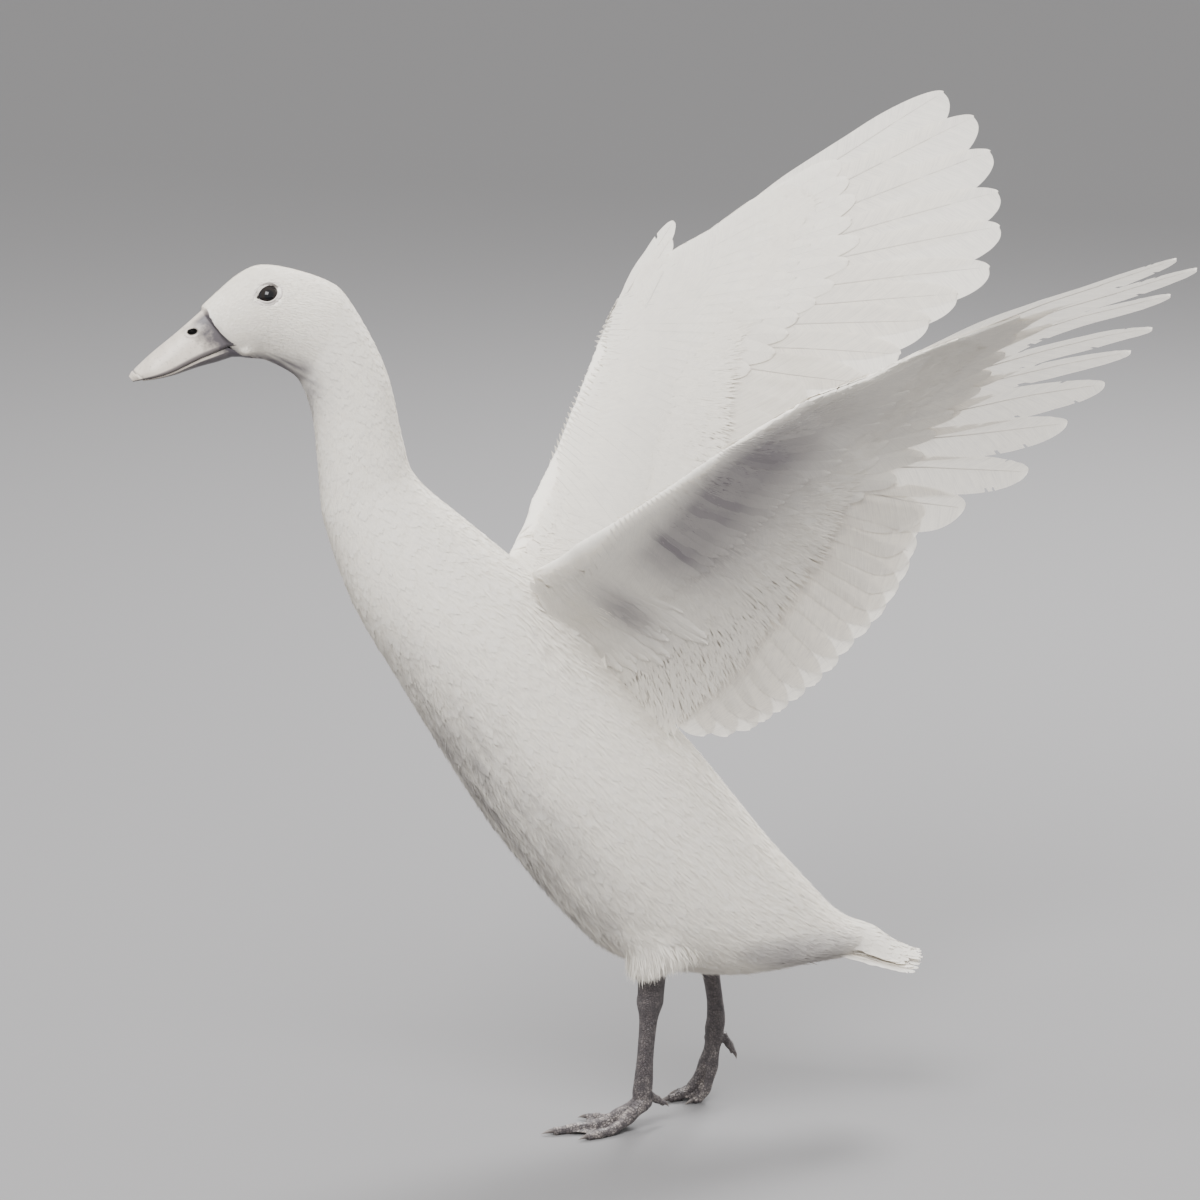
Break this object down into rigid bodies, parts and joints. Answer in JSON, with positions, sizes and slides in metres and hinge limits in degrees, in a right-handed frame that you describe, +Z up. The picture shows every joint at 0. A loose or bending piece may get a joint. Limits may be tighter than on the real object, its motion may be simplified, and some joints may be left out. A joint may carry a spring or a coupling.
{
  "type": "indian runner duck",
  "caption": "Life-size white Indian runner duck, upright in mid-stride with both feathered wings raised and swept back; a still display model.",
  "frame": {"origin": "On the floor, under the middle of the whole object's bounding box", "axes": "+Z up from the floor; the bill points along -X and the tail along +X; the duck's left side is towards -Y and its right side towards +Y"},
  "size_m": [0.6018, 0.5248, 0.6388],
  "materials": {
    "plumage": "matte warm white feathers",
    "bill_horn": "satin horn, darker towards its base",
    "eye": "wet dark gloss",
    "leg_skin": "scaly skin, slightly moist",
    "claw": "satin horn"
  },
  "bodies": {
    "root": {"head": "plumage", "neck": "plumage", "torso": "plumage", "tail": "plumage", "wing_left": "plumage", "wing_right": "plumage", "thigh_left": "plumage", "thigh_right": "plumage", "bill_upper": "bill_horn", "bill_lower": "bill_horn", "eye_left": "eye", "eye_right": "eye", "leg_left": "leg_skin", "leg_right": "leg_skin", "foot_left": "leg_skin", "foot_right": "leg_skin", "claw_left_1": "claw", "claw_left_2": "claw", "claw_left_3": "claw", "claw_left_4": "claw", "claw_right_1": "claw", "claw_right_2": "claw", "claw_right_3": "claw", "claw_right_4": "claw"}
  },
  "joints": []
}
